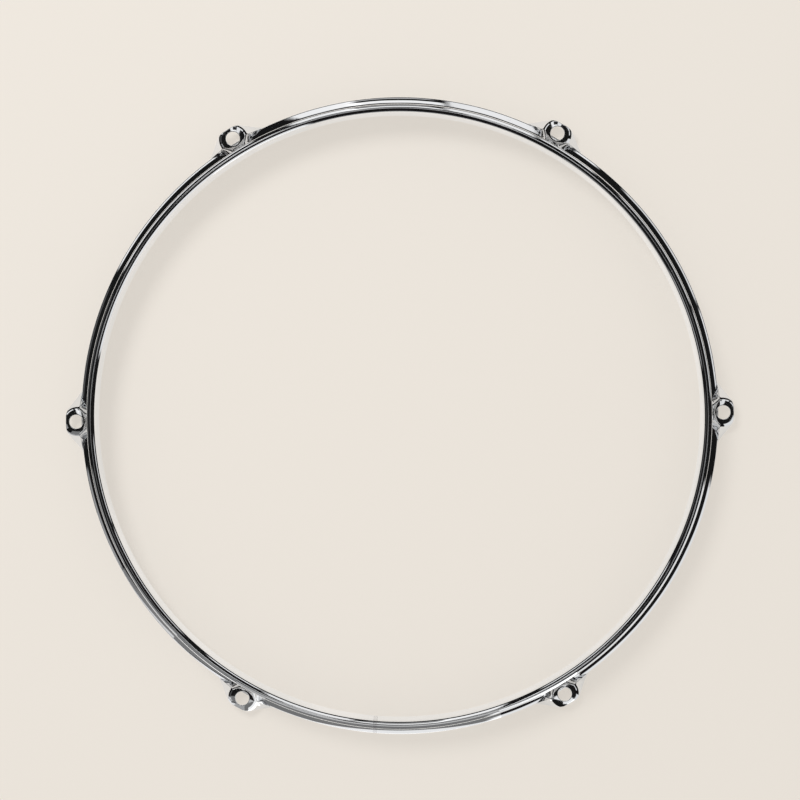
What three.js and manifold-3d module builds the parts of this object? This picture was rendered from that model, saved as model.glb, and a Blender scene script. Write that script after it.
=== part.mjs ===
// A 14 inch triple flanged drum hoop with six tension ears, in chrome plated steel. Millimetres, +Z up.
// The hoop lies flat: its axis is Z, the base flange's rim rests on Z = 0 and the playing lip is on top.
// The first ear points along +X and the others follow anticlockwise, seen from above.
import * as THREE from "three";
import { mergeVertices } from "three/addons/utils/BufferGeometryUtils.js";
import Module from "manifold-3d";

// The hoop strip, in section
const shellDiameter = 355.6; // the drum shell that the hoop goes round
const collarClearance = 0.2; // between the collar and the line of the shell's outside, on the radius
const sheet = 1.6; // thickness of the strip
const lipWidth = 5.1; // from the collar's inner face to the lip's outer edge
const lipBend = 1; // inner radius of the bend between the collar and the lip
const lipCrown = 4; // radius of the lip's crowned top
const lipRise = 25; // degrees that the lip still climbs where its bend runs out into the crown
const collarDepth = 13.3; // from the top of the lip to the bend at the shoulder
const skirtDepth = 9.3; // from the underside of the shoulder, where the flesh hoop bears, to the base
const shoulderStep = 6; // from the collar's inner face to the skirt's inner face, room for the flesh hoop
const shoulderBend = 0.8; // inner radius of the two bends of the shoulder
const flangeWidth = 5; // from the skirt's outer face to the rim of the base flange
const flangeBend = 0.8; // inner radius of the bend between the skirt and the base flange
const flangeCrown = 7; // radius of the base flange's crowned top

// The butt weld that closes the strip
const weldWidth = 2.4; // the dressed weld, measured along the hoop
const weldAngle = 264.7; // degrees from the first ear

// The tension ears
const earCount = 6;
const earSheet = 1.6; // thickness of the pressed ear
const rodOffset = 1.7; // from the rim of the base flange to the middle of the rod hole
const rodHole = 8.2; // diameter of the rod hole
const seatRadius = 7; // the flat of the raised seat, round the rod hole
const earBend = 1.2; // inner radius of the ear's two bends, at the seat and at the brim
const earSlope = 48; // degrees that the ear falls away from the seat
const earReach = 8.1; // from the rim of the base flange to the ear's outer edge
const earRoot = 18; // half the ear's width at the rim of the base flange
const earTip = 5.8; // half the ear's width at its outer corners, before they are rounded
const earCorner = 2.2; // radius of the outer corners

// Shared by all
const weldGap = 0.3; // left open between welded neighbours
const overrun = 2; // how far each cutting body runs past what it cuts

// How finely the round forms are divided
const hoopSteps = 72;
const earSteps = 36;
const bendSteps = 3;
const capSteps = 2;
const cornerSteps = 4;

const collarInner = shellDiameter / 2 + collarClearance;
const hoopHeight = skirtDepth + sheet + shoulderBend + collarDepth; // 25 from the rim to the top of the lip
const skirtInner = collarInner + shoulderStep;
const skirtOuter = skirtInner + sheet;
const rim = skirtOuter + flangeWidth;
const rodCircle = rim + rodOffset;
const earEdge = rim + earReach;
const seatTop = skirtDepth - shoulderBend; // the seat meets the skirt where that bends into the shoulder
const fullTurn = 2 * Math.PI;
const quarter = Math.PI / 2;

// The middle line of the base flange: a fillet at the skirt, then the crown that falls to the rim
const halfSheet = sheet / 2;
const flangeMiddle = flangeBend + halfSheet;
const edgeMiddle = flangeCrown - halfSheet;
const flangeCentre = skirtOuter - halfSheet + flangeMiddle;
const rimAngle = Math.acos((rim - halfSheet - flangeCentre) / edgeMiddle);
const edgeLevel = halfSheet - edgeMiddle * Math.sin(rimAngle);
const filletLevel = edgeLevel + edgeMiddle + flangeMiddle;

const wasm = await Module();
wasm.setup();

const chrome = (name) =>
  new THREE.MeshStandardMaterial({ name, color: 0xd9dbdd, metalness: 1, roughness: 0.06 });

// A closed geometry as a solid that can be joined and cut.
function solidOf(geometry) {
  const bare = geometry.clone();
  bare.deleteAttribute("normal");
  bare.deleteAttribute("uv");
  const merged = mergeVertices(bare);
  return new wasm.Manifold(
    new wasm.Mesh({
      numProp: 3,
      vertProperties: new Float32Array(merged.attributes.position.array),
      triVerts: new Uint32Array(merged.index.array),
    }),
  );
}

// The mesh of a solid, with flat shaded faces.
function meshOf(solid, name, material) {
  const { vertProperties, triVerts } = solid.getMesh();
  const geometry = new THREE.BufferGeometry();
  geometry.setAttribute("position", new THREE.BufferAttribute(new Float32Array(vertProperties), 3));
  geometry.setIndex(new THREE.BufferAttribute(new Uint32Array(triVerts), 1));
  const faceted = geometry.toNonIndexed();
  faceted.computeVertexNormals();
  const mesh = new THREE.Mesh(faceted, material);
  mesh.name = name;
  return mesh;
}

// A closed outline of radius and height, turned round the Z axis.
function turned(outline, steps) {
  const closed = [...outline, outline[0]].map(([radius, height]) => new THREE.Vector2(radius, height));
  return solidOf(new THREE.LatheGeometry(closed, steps).rotateX(quarter));
}

// Points of an arc that runs through the given angles, in equal steps from each angle to the next.
function arc(centreRadius, centreHeight, radius, angles, steps) {
  const at = (angle) => [centreRadius + radius * Math.cos(angle), centreHeight + radius * Math.sin(angle)];
  const legs = angles.slice(1).flatMap((to, leg) => {
    const from = angles[leg];
    return Array.from({ length: steps }, (_, i) => at(from + ((to - from) * (i + 1)) / steps));
  });
  return [at(angles[0]), ...legs];
}

// The strip's section follows the middle of the sheet from the lip's edge to the rim, bend by bend. Each
// side of the sheet lies half a thickness from that line, and both cut edges are rounded. The last value of
// a bend says whether it runs straight on from the one before. The lip's highest point and the rim's lowest
// and outermost points are points of the outline.
function stripOutline() {
  const half = halfSheet;
  const lipMiddle = lipBend + half;
  const crownMiddle = lipCrown - half;
  const shoulderMiddle = shoulderBend + half;
  const skirtMiddle = skirtInner + half;
  const rise = THREE.MathUtils.degToRad(lipRise);

  const lipCentre = collarInner + half + lipMiddle;
  const crownCentre = lipCentre + (crownMiddle - lipMiddle) * Math.sin(rise);
  const crownLevel = hoopHeight - half - crownMiddle;
  const lipLevel = crownLevel + (crownMiddle - lipMiddle) * Math.cos(rise);
  const lipEdge = collarInner + lipWidth - half;
  const lipAngle = Math.acos((lipEdge - crownCentre) / crownMiddle);
  const collarEnd = skirtDepth + sheet + shoulderBend;
  const shoulderLevel = skirtDepth - shoulderBend;

  const bends = [
    [crownCentre, crownLevel, crownMiddle, [lipAngle, quarter, quarter + rise], false],
    [lipCentre, lipLevel, lipMiddle, [quarter + rise, 2 * quarter], true],
    [collarInner + half + shoulderMiddle, collarEnd, shoulderMiddle, [2 * quarter, 3 * quarter], false],
    [skirtMiddle - shoulderMiddle, shoulderLevel, shoulderMiddle, [quarter, 0], false],
    [flangeCentre, filletLevel, flangeMiddle, [2 * quarter, 3 * quarter], false],
    [flangeCentre, edgeLevel, edgeMiddle, [quarter, rimAngle], true],
  ];
  const side = (sign) =>
    bends.flatMap(([centreRadius, centreHeight, radius, angles, runsOn]) => {
      const offset = angles[1] > angles[0] ? sign * half : -sign * half;
      const points = arc(centreRadius, centreHeight, radius + offset, angles, bendSteps);
      return runsOn ? points.slice(1) : points;
    });
  const tipRadius = crownCentre + crownMiddle * Math.cos(lipAngle);
  const tipLevel = crownLevel + crownMiddle * Math.sin(lipAngle);
  const lipRound = arc(tipRadius, tipLevel, half, [lipAngle - 2 * quarter, 0, lipAngle], capSteps);
  const rimRound = arc(rim - half, half, half, [rimAngle - 2 * quarter, -quarter, 0, rimAngle], capSteps);
  return [...side(1), ...rimRound.slice(1, -1), ...side(-1).reverse(), ...lipRound.slice(1, -1)];
}

// The strip as it comes from rolling: the whole ring with the weld's place cut out of it, and the weld,
// which has the same section because it is dressed flush.
function hoopStripAndWeld() {
  const ring = turned(stripOutline(), hoopSteps);
  const across = (width) => {
    const block = new THREE.BoxGeometry(rim - collarInner + 2 * overrun, width, hoopHeight + 2 * overrun);
    block.translate((collarInner + rim) / 2, 0, hoopHeight / 2);
    return solidOf(block.rotateZ(THREE.MathUtils.degToRad(weldAngle)));
  };
  return [ring.subtract(across(weldWidth + 2 * weldGap)), ring.intersect(across(weldWidth))];
}

// The ear's outline from above, in the hoop's frame with the ear on +X: straight flared sides from the rim
// of the base flange to rounded outer corners, and an outer edge that follows the hoop.
function earOutline() {
  const tipAngle = Math.asin(earTip / earEdge);
  const edgeAngle = tipAngle - earCorner / earEdge;
  const root = new THREE.Vector2(Math.sqrt(rim ** 2 - earRoot ** 2), earRoot);
  const tip = new THREE.Vector2(earEdge * Math.cos(tipAngle), earTip);
  const corner = tip.clone().addScaledVector(root.clone().sub(tip).normalize(), earCorner);
  const edge = new THREE.Vector2(earEdge * Math.cos(edgeAngle), earEdge * Math.sin(edgeAngle));
  const shape = new THREE.Shape();
  shape.moveTo(skirtInner, -root.y);
  shape.lineTo(root.x, -root.y);
  shape.lineTo(corner.x, -corner.y);
  shape.quadraticCurveTo(tip.x, -tip.y, edge.x, -edge.y);
  shape.absarc(0, 0, earEdge, -edgeAngle, edgeAngle, false);
  shape.quadraticCurveTo(tip.x, tip.y, corner.x, corner.y);
  shape.lineTo(root.x, root.y);
  shape.lineTo(skirtInner, root.y);
  return shape;
}

// The pressed sheet of an ear, turned round the rod hole: a flat round seat, a cone that falls from it and a
// brim at the level of the rim. Its two sides are a sheet's thickness apart, and the hole runs straight down.
function pressedSheet() {
  const hole = rodHole / 2;
  const brimEdge = earRoot + overrun;
  const slope = THREE.MathUtils.degToRad(earSlope);
  const earBendOver = earBend + earSheet;
  const bendRadii = earBend + earBendOver;
  const seatBendLevel = seatTop - earBendOver;
  const drop = seatBendLevel - earBendOver + bendRadii * Math.cos(slope);
  const brimStart = seatRadius + bendRadii * Math.sin(slope) + drop / Math.tan(slope);
  const seatBend = (radius, angles) => arc(seatRadius, seatBendLevel, radius, angles, bendSteps);
  const brimBend = (radius, angles) => arc(brimStart, earBendOver, radius, angles, bendSteps);
  const under = [
    [hole, seatTop - earSheet],
    ...seatBend(earBend, [quarter, quarter - slope]),
    ...brimBend(earBendOver, [3 * quarter - slope, 3 * quarter]),
    [brimEdge, 0],
  ];
  const top = [
    [brimEdge, earSheet],
    ...brimBend(earBend, [3 * quarter, 3 * quarter - slope]),
    ...seatBend(earBendOver, [quarter - slope, quarter]),
    [hole, seatTop],
  ];
  return turned([...under, ...top], earSteps);
}

// The room that the strip takes up: everything under the base flange's top and inside the skirt's outer
// face, with the welding gap added.
function stripRoom(top) {
  const crown = arc(flangeCentre, edgeLevel, flangeCrown + weldGap, [rimAngle, quarter], bendSteps);
  const fillet = arc(flangeCentre, filletLevel, flangeBend - weldGap, [3 * quarter, 2 * quarter], bendSteps);
  const edges = [
    [skirtInner, -overrun],
    [rim + weldGap, -overrun],
    [rim + weldGap, crown[0][1]],
    ...crown,
    ...fillet.slice(1),
    [skirtOuter + weldGap, top],
    [skirtInner, top],
  ];
  return turned(edges, hoopSteps);
}

// One ear, on +X: the pressed sheet, cut to the ear's outline and to the strip that it is welded to.
function ear() {
  const top = seatTop + overrun;
  const outline = solidOf(
    new THREE.ExtrudeGeometry(earOutline(), {
      depth: top + overrun,
      bevelEnabled: false,
      curveSegments: cornerSteps,
    }).translate(0, 0, -overrun),
  );
  return pressedSheet().translate([rodCircle, 0, 0]).intersect(outline).subtract(stripRoom(top));
}

const hoop = new THREE.Group();
hoop.name = "drum_hoop";

const [strip, weld] = hoopStripAndWeld();
hoop.add(meshOf(strip, "hoop_strip", chrome("hoop_strip")));
hoop.add(meshOf(weld, "butt_weld", chrome("butt_weld")));

const earSolid = ear();
for (let i = 0; i < earCount; i++) {
  const station = new THREE.Group();
  station.rotation.z = (fullTurn * i) / earCount;
  station.add(meshOf(earSolid, `tension_ear_${i + 1}`, chrome("tension_ear")));
  hoop.add(station);
}

export default hoop;
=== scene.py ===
import math

import bpy
from mathutils import Matrix, Vector


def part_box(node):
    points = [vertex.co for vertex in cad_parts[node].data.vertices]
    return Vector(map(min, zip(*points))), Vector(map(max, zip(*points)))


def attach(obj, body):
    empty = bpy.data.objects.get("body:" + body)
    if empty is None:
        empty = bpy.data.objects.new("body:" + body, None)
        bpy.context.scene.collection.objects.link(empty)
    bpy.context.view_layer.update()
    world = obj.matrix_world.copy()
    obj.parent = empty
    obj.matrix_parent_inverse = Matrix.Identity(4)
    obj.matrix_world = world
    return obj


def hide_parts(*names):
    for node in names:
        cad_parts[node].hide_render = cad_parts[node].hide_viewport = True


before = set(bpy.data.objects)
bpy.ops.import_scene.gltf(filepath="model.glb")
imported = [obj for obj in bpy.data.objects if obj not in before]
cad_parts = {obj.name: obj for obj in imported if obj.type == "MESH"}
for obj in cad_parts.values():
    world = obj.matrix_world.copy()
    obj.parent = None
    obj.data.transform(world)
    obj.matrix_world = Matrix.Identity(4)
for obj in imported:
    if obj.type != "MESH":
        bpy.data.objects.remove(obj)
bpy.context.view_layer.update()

# Hoop strip. One strip of 1.6 mm mild steel, rolled to a C and pressed to three flanges: the lip that sticks
# strike, the shoulder that bears on the drumhead's flesh hoop, and the base flange that carries the ears. It
# is polished and chrome plated. Metres, in the frame of the CAD model.
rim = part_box("hoop_strip")[1][0]
hoop_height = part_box("hoop_strip")[1][2]
sheet = 0.0016
half_sheet = sheet / 2
flange_width = 0.005
shoulder_step = 0.006
lip_width = 0.0051
lip_bend = 0.001
lip_crown = 0.0036
lip_rise = math.radians(25)
shoulder_bend = 0.0008
skirt_depth = 0.0093
flange_bend = 0.0008
flange_crown = 0.00946
rim_tilt = math.radians(22)  # the flange's slope where its coined edge begins
rim_coin = 0.0015
rim_coin_end = math.radians(50)
rim_corner = 0.0003
skirt_outer = rim - flange_width
skirt_inner = skirt_outer - sheet
collar_inner = skirt_inner - shoulder_step
quarter = math.pi / 2
flange_centre = skirt_outer + flange_bend
flange_under = flange_crown - sheet
flange_base = -math.sqrt(flange_under ** 2 - (rim - rim_corner - flange_centre) ** 2)
weld_angle = math.radians(264.7)
weld_half_width = 0.0012
weld_seam = 0.00004  # the hairline left on each side of the dressed weld
strip_steps = 720
bend_steps = 10
edge_steps = 6
section_step = 0.002
crease = math.radians(50)  # a sharper turn than this shades as an edge
lip_wave = 0.00009  # how far the lip's edge and the rim wander from true, as pressed sheet does
collar_wave = 0.00005
lip_mean_fall = 1.3
lip_least_fall = 0.000002
wave_range = 3  # no table below adds up to more than this
slow_waves = [(3, 0.6, 1.0), (7, 2.1, 1.0), (13, 4.0, 0.7)]  # waves round the hoop, where they start, size
quick_waves = [(19, 1.3, 1.0), (31, 0.2, 1.0), (53, 3.3, 0.6)]


def arc(centre, radius, angles, steps):
    """Points on a circle through the given angles, in equal steps from each to the next."""
    points = [(centre[0] + radius * math.cos(angles[0]), centre[1] + radius * math.sin(angles[0]))]
    for start, end in zip(angles, angles[1:]):
        for i in range(1, steps + 1):
            turn = start + (end - start) * i / steps
            points.append((centre[0] + radius * math.cos(turn), centre[1] + radius * math.sin(turn)))
    return points


def divided(points, longest):
    """The closed outline with points added on its long straight runs."""
    full = []
    for (r0, z0), (r1, z1) in zip(points, points[1:] + points[:1]):
        pieces = max(1, math.ceil(math.hypot(r1 - r0, z1 - z0) / longest))
        full += [(r0 + (r1 - r0) * i / pieces, z0 + (z1 - z0) * i / pieces) for i in range(pieces)]
    return full


def strip_outline(inset=0.0):
    """The strip's section as radius and height, with every face set in by the inset."""
    half = half_sheet - inset
    lip_middle = lip_bend + half_sheet
    crown_middle = lip_crown - half_sheet
    shoulder_middle = shoulder_bend + half_sheet
    flange_middle = flange_bend + half_sheet
    skirt_middle = skirt_inner + half_sheet
    lip_centre = collar_inner + half_sheet + lip_middle
    crown_centre = lip_centre + (crown_middle - lip_middle) * math.sin(lip_rise)
    crown_level = hoop_height - half_sheet - crown_middle
    lip_level = crown_level + (crown_middle - lip_middle) * math.cos(lip_rise)
    lip_angle = math.acos((collar_inner + lip_width - half_sheet - crown_centre) / crown_middle)
    rim_angle = math.acos((rim - rim_corner - flange_centre) / flange_under)
    flange_start = flange_base + flange_crown - half_sheet + flange_middle
    shoulder_start = (collar_inner + half_sheet + shoulder_middle, skirt_depth + sheet + shoulder_bend)
    bends = [
        ((crown_centre, crown_level), crown_middle, [lip_angle, quarter, quarter + lip_rise], False),
        ((lip_centre, lip_level), lip_middle, [quarter + lip_rise, 2 * quarter], True),
        (shoulder_start, shoulder_middle, [2 * quarter, 3 * quarter], False),
        ((skirt_middle - shoulder_middle, skirt_depth - shoulder_bend), shoulder_middle, [quarter, 0], False),
        ((flange_centre, flange_start), flange_middle, [2 * quarter, 3 * quarter], False),
    ]
    inside, outside = [], []
    for centre, radius, angles, runs_on in bends:
        sign = 1 if angles[1] > angles[0] else -1
        inside += arc(centre, radius + sign * half, angles, bend_steps)[runs_on:]
        outside += arc(centre, radius - sign * half, angles, bend_steps)[runs_on:]
    lip_end = crown_centre + crown_middle * math.cos(lip_angle)
    lip_end_level = crown_level + crown_middle * math.sin(lip_angle)
    lip_round = arc((lip_end, lip_end_level), half, [lip_angle - 2 * quarter, 0, lip_angle], edge_steps)

    flange = (flange_centre, flange_base)
    start, end = quarter - rim_tilt, quarter - rim_coin_end
    top = (flange_centre + flange_crown * math.cos(start), flange_base + flange_crown * math.sin(start))
    coin = (top[0] - rim_coin * math.cos(start), top[1] - rim_coin * math.sin(start))
    side_level = coin[1] + (rim_coin - rim_corner) * math.sin(end)
    corner = rim_corner - inset
    edge = arc(flange, flange_under + inset, [quarter, rim_angle], bend_steps)[1:]
    edge += arc((rim - rim_corner, rim_corner), corner, [-quarter, 0], edge_steps)
    edge += arc((rim - rim_corner, side_level), corner, [0, end], edge_steps)
    edge += arc(coin, rim_coin - inset, [end, start], bend_steps)[1:]
    edge += arc(flange, flange_crown - inset, [start, quarter], bend_steps)[1:-1]
    return divided(inside + edge + outside[::-1] + lip_round[1:-1], section_step)


def waves(table, turn):
    """The waves of one table, added up at an angle round the hoop."""
    return sum(size * math.sin(count * turn + start) for count, start, size in table)


def wandered(radius, height, turn):
    """A point of the section, moved a little, as the pressed sheet wanders along the hoop."""
    slow = waves(slow_waves, turn)
    quick = waves(quick_waves, turn)
    if height > hoop_height / 2:
        share = min(max((radius - collar_inner) / lip_width, 0), 1)
        fall = lip_mean_fall + slow / wave_range + quick / wave_range ** 2
        height -= lip_wave * share * fall / 2 + lip_least_fall
    else:
        share = min(max((radius - skirt_outer) / flange_width, 0), 1)
        height += lip_wave * share * (1 + quick / wave_range) / 2
    return radius - collar_wave * share * (1 + slow / wave_range) / 2, height


def swept(name, outline, start, end, steps):
    """A closed mesh: the outline carried round the hoop's axis between two angles, with its ends shut."""
    vertices, faces = [], []
    count = len(outline)
    for i in range(steps + 1):
        turn = start + (end - start) * i / steps
        for radius, height in outline:
            r, z = wandered(radius, height, turn)
            vertices.append((r * math.cos(turn), r * math.sin(turn), z))
    for i in range(steps):
        for j in range(count):
            k = (j + 1) % count
            faces.append((i * count + j, i * count + k, (i + 1) * count + k, (i + 1) * count + j))
    faces.append(tuple(range(count))[::-1])
    faces.append(tuple(steps * count + j for j in range(count)))
    mesh = bpy.data.meshes.new(name)
    mesh.from_pydata(vertices, [], faces)
    mesh.validate()
    mesh.polygons.foreach_set("use_smooth", [True] * len(mesh.polygons))
    mesh.set_sharp_from_angle(angle=crease)
    piece = bpy.data.objects.new(name, mesh)
    bpy.context.collection.objects.link(piece)
    return piece


class Nodes:
    """A node tree being built: each call adds one node, sets its values and links its inputs."""

    def __init__(self, tree):
        self.tree = tree
        tree.nodes.clear()

    def add(self, kind, inputs=(), **settings):
        node = self.tree.nodes.new(kind)
        for key, value in settings.items():
            setattr(node, key, value)
        for key, value in dict(inputs).items():
            if isinstance(value, bpy.types.NodeSocket):
                self.tree.links.new(value, node.inputs[key])
            else:
                node.inputs[key].default_value = value
        return node

    def math(self, operation, a, b=0.0):
        return self.add("ShaderNodeMath", {0: a, 1: b}, operation=operation).outputs[0]

    def smooth(self, value, low, high):
        inputs = {"Value": value, "From Min": low, "From Max": high}
        return self.add("ShaderNodeMapRange", inputs, interpolation_type="SMOOTHSTEP").outputs[0]

    def blend(self, share, first, second):
        return self.add("ShaderNodeMix", {0: share, 6: first, 7: second}, data_type="RGBA").outputs[2]

    def noise(self, vector, scale, detail=3.0, distortion=0.0):
        inputs = {"Vector": vector, "Scale": scale, "Detail": detail, "Distortion": distortion}
        return self.add("ShaderNodeTexNoise", inputs).outputs["Fac"]


# The marks in the chrome: how each is drawn out and scaled, in cells per metre, and how much it does to the
# finish.
line_stretch = 0.03  # rolling lines and scratches run round the hoop, so they are drawn out that way
line_lean = 1.3  # how fast the lines follow each other up a wall, against across a flat face
rolling_scale = 2600.0
scratch_scale = 5200.0
peel_scale = 260.0
haze_scale = 24.0
scuff_scale = 60.0
pinhole_scale = 520.0
pinhole_field_scale = 45.0
blotch_scale = 14.0
washer_spread = 9.0  # the marks of the rods' washers run round the hole
washer_scale = 4.0
washer_wear = 0.5
pinhole_colour = (0.16, 0.12, 0.10)
pinhole_cover = 0.8
haze_rough = 0.02
wear_rough = 0.22
pinhole_rough = 0.3
peel_relief = 0.55
rolling_relief = 0.10
wear_relief = 0.06
relief_strength = 0.05
relief_depth = 0.0002


def chrome(name, plate, tarnish, gloss, scuffed, across=None):
    """Chrome plate over polished steel: faint rolling lines, orange peel, haze, fine scuffs and pinholes."""
    material = bpy.data.materials.new(name)
    material.use_nodes = True
    n = Nodes(material.node_tree)
    place = n.add("ShaderNodeTexCoord").outputs["Object"]
    xyz = n.add("ShaderNodeSeparateXYZ", {0: place}).outputs
    flat = n.add("ShaderNodeCombineXYZ", {0: xyz[0], 1: xyz[1]}).outputs[0]
    radius = n.add("ShaderNodeVectorMath", {0: flat}, operation="LENGTH").outputs["Value"]
    depth = n.math("ADD", radius, n.math("MULTIPLY", xyz[2], line_lean))
    along_x = n.math("MULTIPLY", xyz[0], line_stretch)
    along_y = n.math("MULTIPLY", xyz[1], line_stretch)
    lined = n.add("ShaderNodeCombineXYZ", {0: along_x, 1: along_y, 2: depth}).outputs[0]

    rolling = n.noise(lined, rolling_scale, detail=4.0)
    peel = n.noise(place, peel_scale, detail=2.0)
    haze = n.smooth(n.noise(place, haze_scale, detail=5.0, distortion=0.6), 0.42, 0.68)
    scratches = n.smooth(n.noise(lined, scratch_scale, detail=8.0, distortion=0.4), 0.60, 0.70)
    scuffs = n.smooth(n.noise(place, scuff_scale, detail=4.0, distortion=1.2), 0.50, 0.62)
    scuffs = n.math("MULTIPLY", scratches, scuffs)
    cells = n.add("ShaderNodeTexVoronoi", {"Vector": place, "Scale": pinhole_scale}).outputs["Distance"]
    field = n.smooth(n.noise(place, pinhole_field_scale), 0.60, 0.66)
    pinholes = n.math("MULTIPLY", n.smooth(cells, 0.10, 0.05), field)

    wear = n.math("MULTIPLY", scuffs, scuffed)
    if across is not None:
        seat = n.add("ShaderNodeAttribute", attribute_name=across).outputs["Fac"]
        ringed = n.add("ShaderNodeCombineXYZ", {0: n.math("MULTIPLY", seat, washer_spread)}).outputs[0]
        rings = n.smooth(n.noise(ringed, washer_scale, detail=6.0), 0.45, 0.62)
        washer = n.math("MULTIPLY", n.smooth(seat, 1.0, 0.9), rings)
        wear = n.math("MAXIMUM", wear, n.math("MULTIPLY", washer, washer_wear))

    blotch = n.smooth(n.noise(place, blotch_scale, detail=4.0, distortion=0.8), 0.35, 0.7)
    colour = n.blend(blotch, (*plate, 1), (*tarnish, 1))
    colour = n.blend(n.math("MULTIPLY", pinholes, pinhole_cover), colour, (*pinhole_colour, 1))
    rough = n.math("ADD", gloss, n.math("MULTIPLY", haze, haze_rough))
    rough = n.math("ADD", rough, n.math("MULTIPLY", wear, wear_rough))
    rough = n.math("ADD", rough, n.math("MULTIPLY", pinholes, pinhole_rough))

    relief = n.math("ADD", n.math("MULTIPLY", peel, peel_relief), n.math("MULTIPLY", rolling, rolling_relief))
    relief = n.math("SUBTRACT", relief, n.math("MULTIPLY", wear, wear_relief))
    raised = {"Strength": relief_strength, "Distance": relief_depth, "Height": relief}
    bump = n.add("ShaderNodeBump", raised).outputs[0]
    shader = n.add("ShaderNodeBsdfPrincipled", {
        "Base Color": colour, "Metallic": 1.0, "Roughness": rough, "Normal": bump}).outputs[0]
    n.add("ShaderNodeOutputMaterial", {0: shader})
    return material


weld_arc = weld_half_width / skirt_outer
strip = swept(
    "hoop_strip_pressed",
    strip_outline(),
    weld_angle + weld_arc + weld_seam / skirt_outer,
    weld_angle + 4 * quarter - weld_arc - weld_seam / skirt_outer,
    strip_steps,
)
strip_chrome = chrome(
    "strip_chrome", plate=(0.82, 0.82, 0.83), tarnish=(0.74, 0.75, 0.76), gloss=0.018, scuffed=0.5,
)
strip.data.materials.append(strip_chrome)
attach(strip, "root")
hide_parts("hoop_strip")

# Butt weld. The strip's two ends are flash welded and dressed flush before plating, which leaves a band a
# little over 2 mm wide that sits a few hundredths low and shines a little less than the strip.
weld_inset = 0.00004
weld_steps = 8
weld = swept(
    "butt_weld_dressed",
    strip_outline(weld_inset),
    weld_angle - weld_arc,
    weld_angle + weld_arc,
    weld_steps,
)
weld_chrome = chrome(
    "weld_chrome", plate=(0.72, 0.72, 0.73), tarnish=(0.60, 0.60, 0.61), gloss=0.12, scuffed=1.0,
)
weld.data.materials.append(weld_chrome)
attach(weld, "root")
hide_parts("butt_weld")

# Tension ears. Six pockets pressed from 1.6 mm steel: a domed round seat with the rod hole, walls that fall
# steeply from it, and two steep wings that run out along the rim to a point. They are welded to the skirt,
# over the flange and along the rim, ground smooth and plated.
ear_count = 6
ear_sheet = 0.0016
ear_top = skirt_depth - shoulder_bend  # the seat's level at the hole
rod_circle = rim + 0.0017
rod_hole_radius = 0.0041
ear_edge = rim + 0.0081
ear_tip = 0.0058  # to each side of the middle: the ear's corner, the end of its straight flank, its point
ear_foot = 0.0190
ear_tail = 0.0208
ear_corner = 0.0026
ear_edge_round = 0.00035
ear_thin_round = 0.45  # where the edge is thin, how much of it each rounding takes
ear_lap = 0.00025  # how far the ear's foot reaches over the rim
ear_lift = 0.00001  # how far the ear's skin stands off the flange and the floor
root_sink = 0.8  # how far the ear's root goes into the skirt, against half of its sheet
root_blend = 0.0009
root_rise = 0.0014  # the height over which the fillet up the skirt widens
root_fillet = 0.0013
wing_slope = math.tan(math.radians(50))
wing_foot = 0.0004  # height of the wing's top face along its straight free edge
wing_least = 0.00008
ridge_level = 0.0063  # the ridge on the rim grows no higher than this, level with the dome's shoulder
ridge_fall = 2.2  # how much faster the wing's top falls inside the rim than it rises outside it
pocket_taper = 0.35  # how much narrower the pocket is at the skirt than at the rim
washer_radius = 0.0068
dome = [  # distance from the hole's axis, and the slope there in degrees
    (0.0041, 10), (0.0066, 17), (0.0092, 49), (0.0200, 50),
]
dome_step = 0.00005
dome_reach = 0.04
ray_steps = 44
ray_step = 0.00002
root_rays = 72
root_gather = 1.8  # how the rays over the root crowd towards the ear's points
tail_rays = 12
flank_rays = 12
tip_rays = 10
round_steps = 4
grade_step = 0.0001
coin_limit = 0.8  # beyond this share of its radius the coined edge counts as level
flange_top = flange_base + flange_crown
shoulder_outer = shoulder_bend + sheet
tip_angle = math.asin(ear_tip / ear_edge)
tip = Vector((ear_edge * math.cos(tip_angle), ear_tip))
foot = Vector((math.sqrt(rim ** 2 - ear_foot ** 2), ear_foot))
flank = (foot - tip).normalized()


def slope_at(distance):
    """The dome's slope at a distance from the rod hole's axis, in radians."""
    for (d0, s0), (d1, s1) in zip(dome, dome[1:]):
        if distance <= d1:
            t = min(max((distance - d0) / (d1 - d0), 0), 1)
            return math.radians(s0 + (s1 - s0) * t * t * (3 - 2 * t))
    return math.radians(dome[-1][1])


dome_table = [ear_top]
while len(dome_table) * dome_step < dome_reach:
    middle = rod_hole_radius + (len(dome_table) - 0.5) * dome_step
    dome_table.append(dome_table[-1] - dome_step * math.tan(slope_at(middle)))


def dome_level(x, y):
    """Height of the dome and its walls; over the flange the pocket narrows towards the skirt."""
    inward = min(max((rim - math.hypot(x, y)) / flange_width, 0), 1)
    distance = math.hypot(x - rod_circle, y * (1 + pocket_taper * inward))
    place = min(max((distance - rod_hole_radius) / dome_step, 0), len(dome_table) - 2)
    low = int(place)
    return dome_table[low] + (dome_table[low + 1] - dome_table[low]) * (place - low)


def ear_side():
    """Half of the ear's free edge from above, from its tail at the rim to the middle of its outer edge."""
    lapped = rim - ear_lap
    edge_angle = tip_angle - ear_corner / ear_edge
    tail = Vector((math.sqrt(lapped ** 2 - ear_tail ** 2), ear_tail))
    corner = tip + flank * ear_corner
    bend = foot - flank * (tail - foot).length
    edge = Vector((ear_edge * math.cos(edge_angle), ear_edge * math.sin(edge_angle)))

    def bow(a, b, c, steps):
        shares = [i / steps for i in range(steps + 1)]
        return [tuple(a * (1 - t) ** 2 + b * (2 * t * (1 - t)) + c * t ** 2) for t in shares]

    points = bow(tail, foot, bend, tail_rays)
    points += [tuple(bend + (corner - bend) * i / flank_rays) for i in range(1, flank_rays)]
    points += bow(corner, tip, edge, tip_rays)
    points += arc((0, 0), ear_edge, [edge_angle, 0], tip_rays)[1:]
    return points


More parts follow.
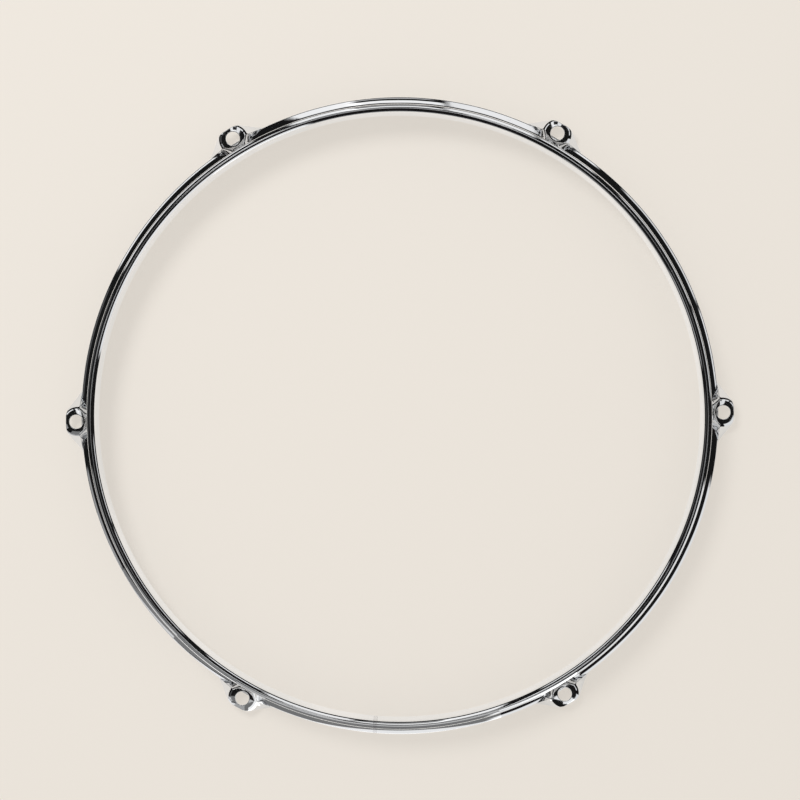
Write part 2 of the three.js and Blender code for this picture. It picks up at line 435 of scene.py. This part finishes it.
def flange_level(radius):
    """Height of the base flange's top at a distance from the hoop's axis."""
    out = max(radius - flange_centre, 0)
    start = flange_crown * math.sin(rim_tilt)
    if out < start:
        return flange_base + math.sqrt(flange_crown ** 2 - out ** 2)
    coin_out = out - start + rim_coin * math.sin(rim_tilt)
    coin_base = flange_base + (flange_crown - rim_coin) * math.cos(rim_tilt)
    return coin_base + math.sqrt(rim_coin ** 2 - min(coin_out, rim_coin * coin_limit) ** 2)


def wing_level(x, y):
    """Height of the wing: it rises inward from the ear's free edge and ends in a low ridge on the rim."""
    inward = (tip.x - x) * flank.y + (abs(y) - tip.y) * flank.x
    ridge = ridge_fall * max(rim - math.hypot(x, y), 0)
    return max(min(wing_foot + wing_slope * inward, ridge_level) - ridge, wing_least)


def ground_level(x, y):
    """Height that the ear's walls come down to: the wing, or the flange's top inside the rim."""
    radius = math.hypot(x, y)
    if radius < rim - ear_lap - 2 * ear_lift:
        return max(flange_level(radius) + ear_lift, wing_level(x, y))
    return wing_level(x, y)


def ear_level(x, y):
    """Height of the ear's top, with fillets where it runs into the flange and up the skirt."""
    radius = math.hypot(x, y)
    dome_height = dome_level(x, y)
    ground = ground_level(x, y)
    near = max(root_blend - abs(dome_height - ground), 0) / root_blend
    top = max(dome_height, ground) + near * near * root_blend / 4

    raised = min(max((top - flange_top) / root_rise, 0), 1)
    fillet = flange_bend + (root_fillet - flange_bend) * raised
    over = max(top + fillet - ear_top, 0)
    bend_centre = skirt_outer - shoulder_outer
    fillet_centre = bend_centre + math.sqrt((shoulder_outer + fillet) ** 2 - over ** 2)
    touch = bend_centre + (fillet_centre - bend_centre) * shoulder_outer / (shoulder_outer + fillet)
    inward = fillet_centre - max(radius, touch)
    if inward > 0:
        top += fillet - math.sqrt(max(fillet ** 2 - inward ** 2, 0))
    return top


def ear_root(angle):
    """Where a ray from the hole's axis, at an angle from the outward direction, ends inside the strip."""
    distance = rod_hole_radius
    while True:
        distance += ray_step
        x = rod_circle + distance * math.cos(angle)
        y = distance * math.sin(angle)
        radius = math.hypot(x, y)
        faded = max(dome_level(x, y), wing_level(x, y)) < flange_level(radius) - root_blend
        if radius < skirt_outer - half_sheet * root_sink or (radius < rim - ear_lap and faded):
            return x, y


def ear_loop(out, reach):
    """The ear's section along one ray, as distance and height, once round the sheet with rounded edges."""

    def levels(distance):
        x, y = rod_circle + out.x * distance, out.y * distance
        top = ear_level(x, y)
        dx, dy = out.x * grade_step, out.y * grade_step
        grade = (dome_level(x + dx, y + dy) - dome_level(x - dx, y - dy)) / (2 * grade_step)
        if dome_level(x, y) < ground_level(x, y):
            grade = wing_slope
        under = max(top - ear_sheet * math.hypot(1, grade), ear_lift)
        radius = math.hypot(x, y)
        if radius < rim - rim_corner:
            under = max(under, flange_level(radius) - half_sheet)
        return top, under

    def rounded(edge, outward, face, down, e):
        corner = []
        for i in range(1, round_steps + 1):
            turn = quarter * i / round_steps
            d = edge - outward * e * (1 - math.sin(turn))
            corner.append((d, levels(d)[face] - down * e * (1 - math.cos(turn))))
        return corner

    top, under = levels(reach)
    inner, outer = ear_edge_round, min(ear_edge_round, ear_thin_round * (top - under))
    first, last = rod_hole_radius + inner, reach - outer
    stations = [first + (last - first) * i / ray_steps for i in range(ray_steps + 1)]
    top = [(d, levels(d)[0]) for d in stations]
    under = [(d, levels(d)[1]) for d in reversed(stations)]
    rim_side = rounded(reach, 1, 0, 1, outer) + rounded(reach, 1, 1, -1, outer)[::-1]
    hole_side = rounded(rod_hole_radius, -1, 1, -1, inner) + rounded(rod_hole_radius, -1, 0, 1, inner)[::-1]
    return top + rim_side + under + hole_side


def ear_section():
    """One ear's closed mesh, with its hole towards +X, and how far each of its points is from that hole."""
    side = ear_side()
    first = math.atan2(side[0][1], side[0][0] - rod_circle)
    shares = [(i / root_rays) ** root_gather for i in range(root_rays, 0, -1)]
    side = [ear_root(first + (2 * quarter - first) * share) for share in shares] + side
    boundary = side + [(x, -y) for x, y in side[-2:0:-1]]
    points, marks = [], []
    for x, y in boundary:
        out = Vector((x - rod_circle, y))
        reach = out.length
        out.normalize()
        for d, z in ear_loop(out, reach):
            points.append((rod_circle + out.x * d, out.y * d, z))
            marks.append(d / washer_radius)
    count = len(points) // len(boundary)
    faces = []
    for i in range(len(boundary)):
        k = (i + 1) % len(boundary)
        for j in range(count):
            m = (j + 1) % count
            faces.append((i * count + j, i * count + m, k * count + m, k * count + j))
    return points, faces, marks


def pressed_ear(name, turn, points, faces, marks):
    """One ear turned to its place, moved a little with the rim that it is welded to."""
    vertices = []
    for x, y, z in points:
        place = turn + math.atan2(y, x)
        radius, height = wandered(math.hypot(x, y), z, place)
        vertices.append((radius * math.cos(place), radius * math.sin(place), height))
    mesh = bpy.data.meshes.new(name)
    mesh.from_pydata(vertices, [], faces)
    mesh.attributes.new("from_hole", "FLOAT", "POINT").data.foreach_set("value", marks)
    mesh.polygons.foreach_set("use_smooth", [True] * len(mesh.polygons))
    mesh.set_sharp_from_angle(angle=crease)
    piece = bpy.data.objects.new(name, mesh)
    bpy.context.collection.objects.link(piece)
    return piece


ear_shape = ear_section()
ear_chrome = chrome(
    "ear_chrome", plate=(0.78, 0.78, 0.79), tarnish=(0.70, 0.71, 0.72), gloss=0.022, scuffed=0.6,
    across="from_hole",
)
for number in range(ear_count):
    ear = pressed_ear(f"tension_ear_{number + 1}_pressed", 4 * quarter * number / ear_count, *ear_shape)
    ear.data.materials.append(ear_chrome)
    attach(ear, "root")
    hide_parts(f"tension_ear_{number + 1}")

# Floor. A plain pale board that the hoop lies on; it isn't part of the object. The camera and the chrome see
# it a little brighter than the lamps alone make it.
floor_size = 6.0
floor_colour = (0.30, 0.287, 0.267)
floor_seen = (0.545, 0.51, 0.466)
floor_mirrored = (0.70, 0.675, 0.64)
floor_mesh = bpy.data.meshes.new("floor")
far = floor_size / 2
corners = [(-far, -far, 0), (far, -far, 0), (far, far, 0), (-far, far, 0)]
floor_mesh.from_pydata(corners, [], [(0, 1, 2, 3)])
floor = bpy.data.objects.new("floor", floor_mesh)
bpy.context.collection.objects.link(floor)
floor_material = bpy.data.materials.new("pale_floor")
floor_material.use_nodes = True
n = Nodes(floor_material.node_tree)
seen = n.add("ShaderNodeLightPath").outputs
shade = n.add("ShaderNodeBsdfDiffuse", {"Color": (*floor_colour, 1)}).outputs[0]
for colour, ray in ((floor_seen, "Is Camera Ray"), (floor_mirrored, "Is Glossy Ray")):
    lift = n.add("ShaderNodeEmission", {"Color": (*colour, 1), "Strength": seen[ray]}).outputs[0]
    shade = n.add("ShaderNodeAddShader", {0: shade, 1: lift}).outputs[0]
n.add("ShaderNodeOutputMaterial", {0: shade})
floor_mesh.materials.append(floor_material)

# Studio. The room that the chrome mirrors is dark with pale windows and lamps, each a soft patch of sky given
# by its bearing and its distance from overhead. Everything else sees an even pale room, and one large soft
# lamp at the upper left gives the hoop its shadow.
pale_room = (0.90, 0.87, 0.83)
soft_sky_strength = 0.70
plain_sky_strength = 0.92
dark_ceiling = 0.010
key_power = 15
key_size = 0.7
key_place = (-0.7, 0.9, 1.5)
patches = [
    # bearing, half width, from and to (degrees from overhead), brightness
    (9, 8, 44, 58, 0.90),
    (31, 12, 43, 58, 0.85),
    (56, 6, 42, 60, 1.10),
    (72, 9, 16, 58, 1.00),
    (91, 9, 16, 34, 1.10),
    (92, 8, 46, 58, 0.50),
    (105, 6, 18, 60, 1.10),
    (136, 17, 45, 60, 1.10),
    (172, 14, 44, 60, 0.09),
    (200, 9, 42, 62, 0.35),
    (315, 30, 43, 90, 0.95),
    (133, 12, 3, 10, 1.40),
    (73, 6, 3, 9, 1.20),
    (108, 8, 3, 9, 0.60),
    (91, 8, 3, 9, 0.25),
    (189, 14, 3, 9, 0.35),
    (217, 10, 3, 9, 0.20),
    (242, 14, 3, 9, 0.90),
    (277, 20, 3, 9, 0.60),
    (322, 9, 3, 9, 0.80),
]
patch_blur = math.radians(1.2)
world = bpy.data.worlds.new("studio")
bpy.context.scene.world = world
world.use_nodes = True
n = Nodes(world.node_tree)
look = n.add("ShaderNodeTexCoord").outputs["Generated"]
axes = n.add("ShaderNodeSeparateXYZ", {0: look}).outputs
bearing = n.math("ARCTAN2", axes[1], axes[0])
down = n.math("ARCCOSINE", axes[2])
mirrored = dark_ceiling
for toward, width, start, end, strength in patches:
    toward, width, start, end = (math.radians(v) for v in (toward, width, start, end))
    aside = {0: n.math("SUBTRACT", bearing, toward), 1: 2 * quarter, 2: -2 * quarter}
    aside = n.add("ShaderNodeMath", aside, operation="WRAP").outputs[0]
    across = n.smooth(n.math("ABSOLUTE", aside), width + patch_blur, width - patch_blur)
    nearer = n.smooth(down, start - patch_blur, start + patch_blur)
    further = n.smooth(down, end + patch_blur, end - patch_blur)
    patch = n.math("MULTIPLY", n.math("MULTIPLY", across, nearer), n.math("MULTIPLY", further, strength))
    mirrored = n.math("ADD", mirrored, patch)
seen = n.add("ShaderNodeLightPath").outputs
glossy_sky = n.add("ShaderNodeBackground", {"Color": mirrored, "Strength": 1.0}).outputs[0]
soft_sky = {"Color": (*pale_room, 1), "Strength": soft_sky_strength}
soft_sky = n.add("ShaderNodeBackground", soft_sky).outputs[0]
plain_sky = {"Color": (*pale_room, 1), "Strength": plain_sky_strength}
plain_sky = n.add("ShaderNodeBackground", plain_sky).outputs[0]
sky = n.add("ShaderNodeMixShader", {0: seen["Is Glossy Ray"], 1: soft_sky, 2: glossy_sky}).outputs[0]
sky = n.add("ShaderNodeMixShader", {0: seen["Is Camera Ray"], 1: sky, 2: plain_sky}).outputs[0]
n.add("ShaderNodeOutputWorld", {0: sky})

lamp_data = bpy.data.lights.new("key_lamp", "AREA")
lamp_data.energy = key_power
lamp_data.shape = "DISK"
lamp_data.size = key_size
lamp = bpy.data.objects.new("key_lamp", lamp_data)
lamp.location = key_place
lamp.rotation_euler = (-lamp.location).to_track_quat("-Z", "Y").to_euler()
lamp.visible_glossy = False
bpy.context.collection.objects.link(lamp)

# White cards. They stand on edge in a row just below the hoop in the picture. Only the chrome sees them, as
# pale and grey bands along its lower half.
card_line = -0.1925
cards = [
    # left, right, lowest and highest edge, brightness
    (-0.600, -0.200, 0.006, 0.115, 0.55),
    (-0.200, -0.122, 0.004, 0.050, 1.00),
    (-0.350, -0.122, 0.060, 0.300, 0.22),
    (-0.122, -0.095, 0.006, 0.120, 0.45),
    (-0.095, 0.062, 0.001, 0.009, 1.00),
    (-0.095, 0.062, 0.009, 0.060, 0.20),
    (-0.095, 0.062, 0.060, 0.120, 0.60),
    (0.062, 0.095, 0.050, 0.100, 1.10),
    (0.095, 0.128, 0.030, 0.100, 1.10),
]
for number, (left, right, low, high, brightness) in enumerate(cards):
    card_data = bpy.data.lights.new(f"white_card_{number + 1}", "AREA")
    card_data.shape = "RECTANGLE"
    card_data.size = right - left
    card_data.size_y = high - low
    card_data.energy = brightness * 2 * quarter * (right - left) * (high - low)
    card = bpy.data.objects.new(f"white_card_{number + 1}", card_data)
    card.location = ((left + right) / 2, card_line, (low + high) / 2)
    card.rotation_euler = (quarter, 0, 0)
    card.visible_camera = False
    card.visible_diffuse = False
    bpy.context.collection.objects.link(card)

# Camera. One metre from the lip, over the hoop's axis but for about a degree up and to the right, so that the
# inner wall shows a little wider at the lower left. The picture is 800 pixels wide.
camera_distance = 1.0
pixels_per_metre = 1711.7
frame_pixels = 800
camera_up = math.radians(1.09)
camera_right = math.radians(0.64)
camera_roll = math.radians(-0.855)
aim = Vector((0.00084, 0.0104, hoop_height))
camera_data = bpy.data.cameras.new("camera")
camera_data.lens = camera_data.sensor_width * pixels_per_metre * camera_distance / frame_pixels
camera = bpy.data.objects.new("camera", camera_data)
view = Matrix.Rotation(camera_right, 3, "Y") @ Matrix.Rotation(-camera_up, 3, "X")
camera.location = aim + view @ Vector((0, 0, camera_distance))
camera.rotation_euler = (view @ Matrix.Rotation(camera_roll, 3, "Z")).to_euler()
bpy.context.collection.objects.link(camera)
bpy.context.scene.camera = camera
bpy.context.scene.view_settings.view_transform = "Standard"
